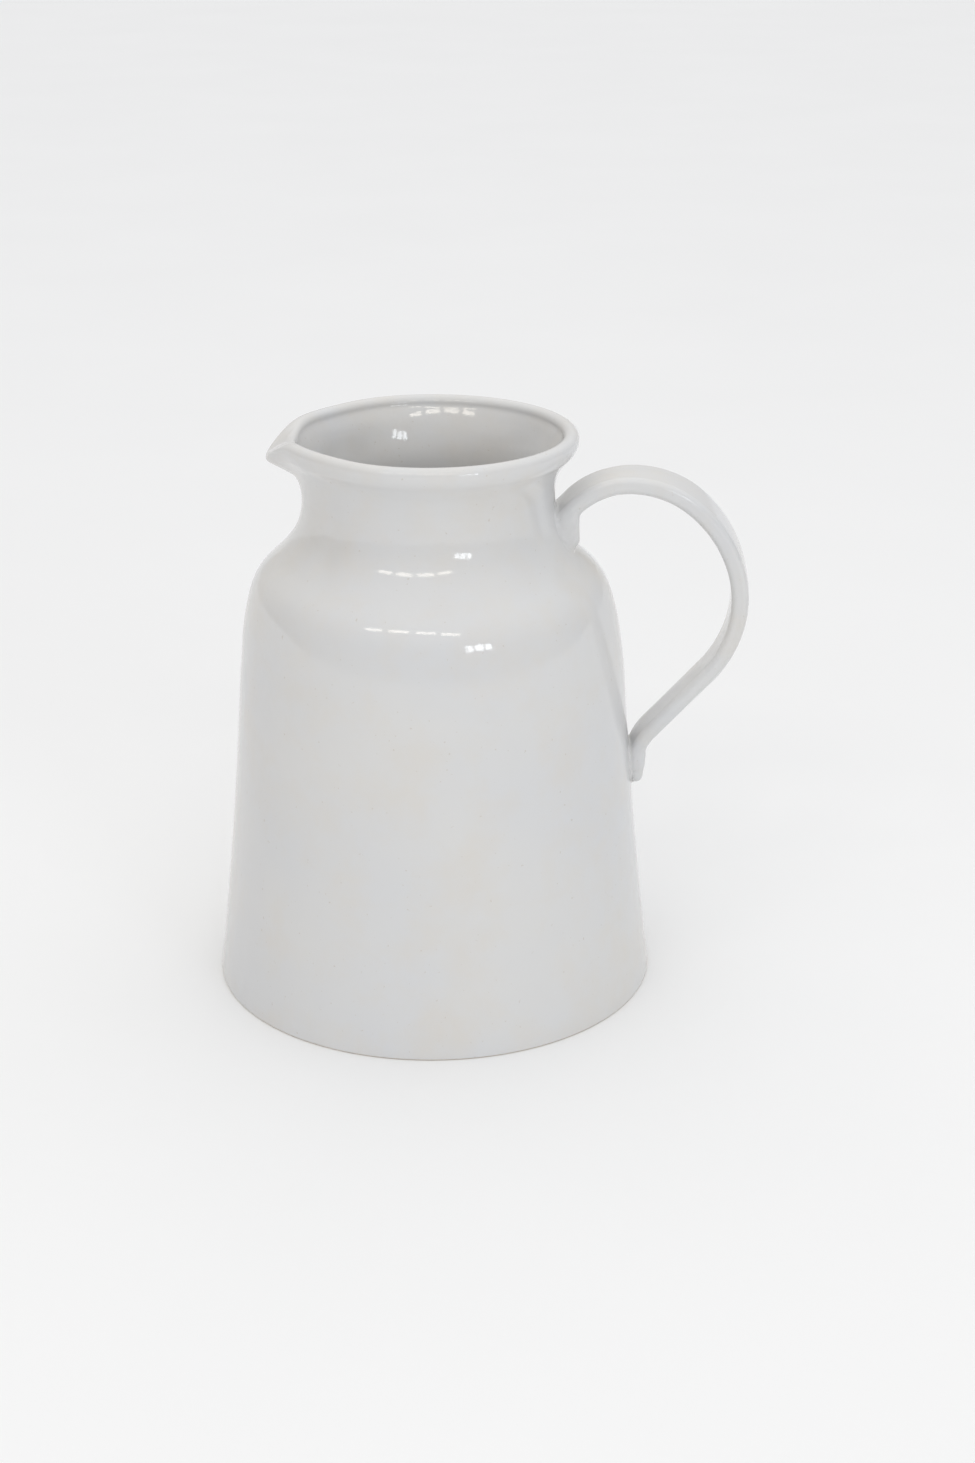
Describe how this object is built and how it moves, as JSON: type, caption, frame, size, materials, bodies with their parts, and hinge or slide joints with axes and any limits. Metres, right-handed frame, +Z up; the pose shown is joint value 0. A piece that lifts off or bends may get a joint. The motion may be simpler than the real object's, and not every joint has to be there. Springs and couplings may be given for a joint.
{
  "type": "ceramic pitcher",
  "caption": "Wide-footed glazed stoneware pitcher with a tapering wall, rounded shoulder, short neck, rolled lip with a pulled spout, and a strap handle.",
  "frame": {"origin": "centre of the foot, on the plane that it stands on", "axes": "+Z up along the body's axis, +X towards the handle, -X towards the spout"},
  "size_m": [0.2176, 0.1808, 0.23],
  "materials": {
    "body_glaze": "glossy off-white glaze over pale stoneware, foot ring wiped bare",
    "handle_glaze": "glossy off-white glaze, thinner along the edges of the strap",
    "joint_glaze": "glossy off-white glaze pooled in the fillet of slip"
  },
  "bodies": {
    "root": {"vessel": "body_glaze", "handle": "handle_glaze", "upper_slip_joint": "joint_glaze", "lower_slip_joint": "joint_glaze"}
  },
  "joints": []
}
